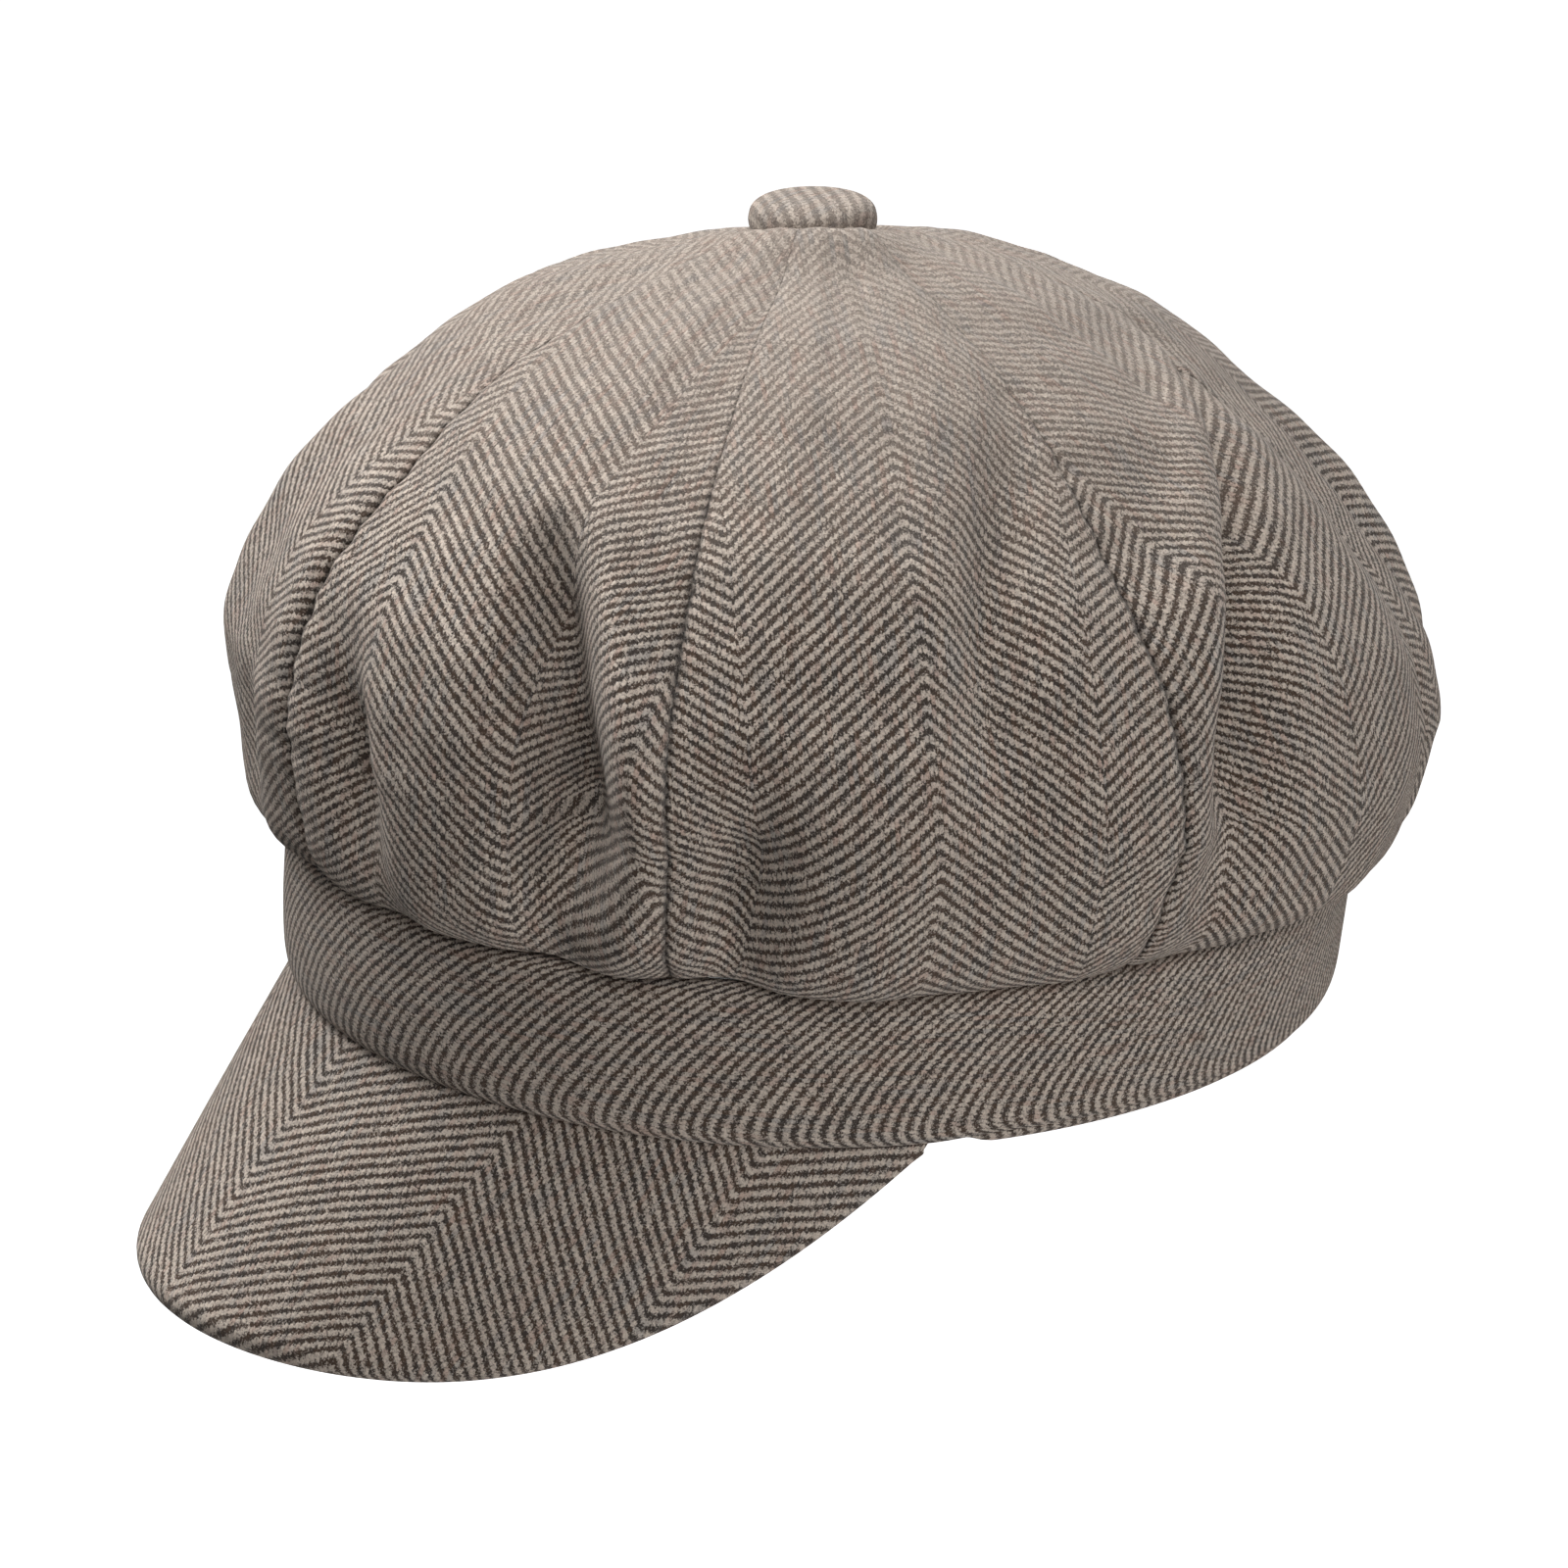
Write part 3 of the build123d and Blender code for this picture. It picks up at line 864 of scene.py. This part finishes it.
def peak_weave(points, face_rows=None):
    """Across and along for cloth whose stripes follow the rulings, and wrap round the rim."""
    slope = np.radians(PEAK_SLOPE)
    down = np.array([0, -np.cos(slope), -np.sin(slope)])
    along = points @ down
    flat = points - along[..., None] * down
    if face_rows is not None:
        run = lengths(points, 0)
        along[face_rows:] = along[face_rows - 1] + run[face_rows:] - run[face_rows - 1]
    middle = points.shape[0] // 3
    across = lengths(flat, 1)[middle]
    angles = np.radians(PEAK_END) * PEAK_SHARES
    across = across - np.interp(STRIPE_TURN, angles, across)
    return np.stack([across[None, :] + 0 * along, along], -1)


def across_joint(piece):
    """Bakes a peak piece's placement into its mesh."""
    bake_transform(piece)


# %% [markdown]
# ## Three layers of the peak
# The top cloth starts under the band, runs down over the board, rolls round the rim and
# is sewn underneath to the lower cloth. A ruling near the ends of the seam is short, so
# the roll is made smaller there.

# %% Top cloth, board and lower cloth
PEAK_CLOTH_THICK, BOARD_THICK = 1.3, 1.5
TUCKED_UNDER_BAND, HOLLOW = 1.6, 0.5
FACE_ROWS, ROLL_STEPS = 60, 12


def top_profile(share):
    """Distances and depths of the top cloth, one column for each share."""
    reach = peak_reach(share)
    roll = np.minimum(PEAK_THICKNESS / 2, 0.35 * reach)
    run = np.linspace(0, 1, FACE_ROWS)[:, None]
    distance = (reach - roll + TUCKED_UNDER_BAND) * run - TUCKED_UNDER_BAND
    depth = 0.6 * (1 - ease(run / 0.05)) - HOLLOW * np.sin(np.pi * run) * reach / PEAK_REACH
    turn = np.linspace(0, np.pi, ROLL_STEPS + 1)[1:, None]
    round_distance = reach - roll + roll * np.sin(turn)
    round_depth = roll - roll * np.cos(turn)
    under = np.linspace(0, 1, 4)[1:, None]
    under_distance = reach - roll - under * np.minimum(2.2, 0.3 * reach)
    under_depth = 2 * roll + 0 * under_distance
    under_depth[-1] -= 0.5
    return (np.concatenate([distance, round_distance, under_distance]),
            np.concatenate([depth, round_depth, under_depth]))


distances, depths = top_profile(PEAK_SHARES[None, :])
points = peak_surface(PEAK_SHARES[None, :], distances, depths)
peak_top = build_sheet("peak_upper_cloth", points, peak_weave(points, FACE_ROWS), PEAK_CLOTH_THICK,
                       PEAK_CLOTH, body=None)
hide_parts("peak_upper")
across_joint(peak_top)

inner_shares = PEAK_SHARES * 0.985
reaches = peak_reach(inner_shares)[None, :]
run = np.linspace(0, 1, 40)[:, None]
distances = 0.4 + (np.maximum(reaches - 2.6, 1.0) - 0.4) * run
depths = PEAK_CLOTH_THICK + 0.2 - HOLLOW * np.sin(np.pi * run) * reaches / PEAK_REACH
points = peak_surface(inner_shares[None, :], distances, depths)
board = build_sheet("peak_board_sheet", points, peak_weave(points), BOARD_THICK,
                    BOARD_PLASTIC, body=None)
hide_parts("peak_board")
across_joint(board)

distances = 0.2 + (np.maximum(reaches - 4.0, 1.0) - 0.2) * run
depths = PEAK_THICKNESS - 0.1 + 0.35 * np.sin(np.pi * run) * reaches / PEAK_REACH
depths = depths - 0.5 * ease((run - 0.96) / 0.04)
points = peak_surface(inner_shares[None, :], distances, depths)[:, ::-1]
peak_under = build_sheet("peak_lower_cloth", points, peak_weave(points)[:, ::-1],
                         PEAK_CLOTH_THICK - 0.2, PEAK_CLOTH, body=None)
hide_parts("peak_lower")
across_joint(peak_under)

# %% [markdown]
# ## The button
# A disc of the same cloth is pulled over a metal shell and gathered under its edge. We
# make it as rings round a profile, with a few soft tucks below the edge, and map the
# weave as the flat disc it was cut from.

# %% Covered button
BUTTON_PROFILE = [(0.0, 6.8), (3.8, 6.75), (7.2, 6.5), (9.4, 5.95), (10.9, 4.8), (11.45, 3.3),
                  (11.5, 1.9), (11.2, 0.8), (10.3, 0.15), (9.2, 0.15), (8.6, 0.7)]
BUTTON_LIFT, BUTTON_SINK = 0.7, 2.3
BUTTON_WEAVE_TURN = np.radians(19.0)
BUTTON_PULL = 0.75
profile = curve_through(BUTTON_PROFILE, 5)
profile[0, 0] = 0.02
turns = np.linspace(0, 2 * np.pi, 97)
fall = np.concatenate([[0], np.cumsum(np.linalg.norm(np.diff(profile, axis=0), axis=1))])
tuck = 0.16 * np.sin(13 * turns) * ease((3.0 - profile[:, 1:]) / 3.0)
radius = profile[:, :1] + tuck
local = np.stack([radius * np.cos(turns), radius * np.sin(turns),
                  profile[:, 1:] + BUTTON_LIFT + 0 * turns], -1)
tilted = local.copy()
tilted[..., 1] = local[..., 1] * np.cos(APEX_TILT) - local[..., 2] * np.sin(APEX_TILT)
tilted[..., 2] = local[..., 1] * np.sin(APEX_TILT) + local[..., 2] * np.cos(APEX_TILT)
points = tilted + np.array([0, APEX_SHIFT, APEX_HEIGHT - BUTTON_SINK])
cut = BUTTON_PULL * fall[:, None]
weave = np.stack([cut * np.cos(turns - BUTTON_WEAVE_TURN) + 30,
                  cut * np.sin(turns - BUTTON_WEAVE_TURN) + 40], -1)
cover = build_sheet("button_cover_cloth", points[::-1], weave[::-1], 0.8, BUTTON_CLOTH,
                    body="button")
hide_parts("button_cover")

# %% [markdown]
# ## Light and floor
# A studio picture of cloth needs soft light from above, so that the top is bright and
# the folds shade each other, and enough light from all round to keep the shadows open.
# One lamp stands below, because light that comes back off a pale table fills the
# underside of the peak and the overhang of the crown.

# %% Lights
def area_light(name, power, size, spot, target=(0, 0, 60)):
    """A square soft light, placed and aimed in millimetres."""
    lamp = bpy.data.lights.new(name, "AREA")
    lamp.energy = power
    lamp.size = size * MM
    holder = bpy.data.objects.new(name, lamp)
    bpy.context.scene.collection.objects.link(holder)
    direction = Vector(target) - Vector(spot)
    holder.matrix_world = (Matrix.Translation(Vector(spot) * MM)
                           @ direction.to_track_quat("-Z", "Y").to_matrix().to_4x4())


area_light("overhead", 8.6, 600, (-200, -100, 1080))
area_light("key", 11.5, 600, (-700, -500, 850))
area_light("upper front", 3.8, 500, (750, -420, 700))
area_light("lower front", 0.6, 400, (1000, -700, 150))
area_light("right side", 1.2, 500, (700, 1000, 100))
area_light("from below", 5.2, 400, (820, 330, -640))

WORLD_STRENGTH = 0.12
world = bpy.data.worlds.new("studio")
world.use_nodes = True
world.node_tree.nodes["Background"].inputs["Color"].default_value = (1.0, 1.0, 1.0, 1.0)
world.node_tree.nodes["Background"].inputs["Strength"].default_value = WORLD_STRENGTH
bpy.context.scene.world = world
bpy.context.scene.view_settings.view_transform = "Standard"

# %% [markdown]
# ## Floor and backdrop
# The floor is pale and lies below the lowest lamp, so no shadow of the cap shows on it.
# A large sphere with the same paint stands round everything, so that the background is
# plain from every side. Neither is seen by light that bounces off the cloth, and the
# sphere casts no shadow, so they colour the background and leave the cap alone.

# %% Floor and backdrop
FLOOR_HEIGHT, FLOOR_HALF = -0.95, 12.0
BACKDROP_RADIUS = 11.0
floor_corners = [(x * FLOOR_HALF, y * FLOOR_HALF, FLOOR_HEIGHT)
                 for x, y in ((-1, -1), (1, -1), (1, 1), (-1, 1))]
floor_mesh = bpy.data.meshes.new("floor")
floor_mesh.from_pydata(floor_corners, [], [(0, 1, 2, 3)])
floor = bpy.data.objects.new("floor", floor_mesh)
bpy.context.scene.collection.objects.link(floor)
floor_material, floor_shader, floor_start = new_material(
    "floor paint", Roughness=0.9, Emission_Color=(1.0, 1.0, 1.0, 1.0), Emission_Strength=1.0)
floor_tone = colour_wire(floor_start, (0.90, 0.90, 0.90, 1.0)).tint(
    colour_wire(floor_start, (0.93, 0.93, 0.92, 1.0)),
    noise(floor_start, object_place(floor_start), 3.0))
connect(floor_tone, floor_shader, "Base Color")
floor_mesh.materials.append(floor_material)
floor.visible_diffuse = False
floor.visible_glossy = False

sky_mesh = bpy.data.meshes.new("backdrop")
shape = bmesh.new()
bmesh.ops.create_icosphere(shape, subdivisions=4, radius=BACKDROP_RADIUS)
shape.to_mesh(sky_mesh)
shape.free()
sky_mesh.materials.append(floor_material)
backdrop = bpy.data.objects.new("backdrop", sky_mesh)
bpy.context.scene.collection.objects.link(backdrop)
for ray in ("visible_diffuse", "visible_glossy", "visible_shadow", "visible_transmission"):
    setattr(backdrop, ray, False)
print("floor at", FLOOR_HEIGHT, "m")
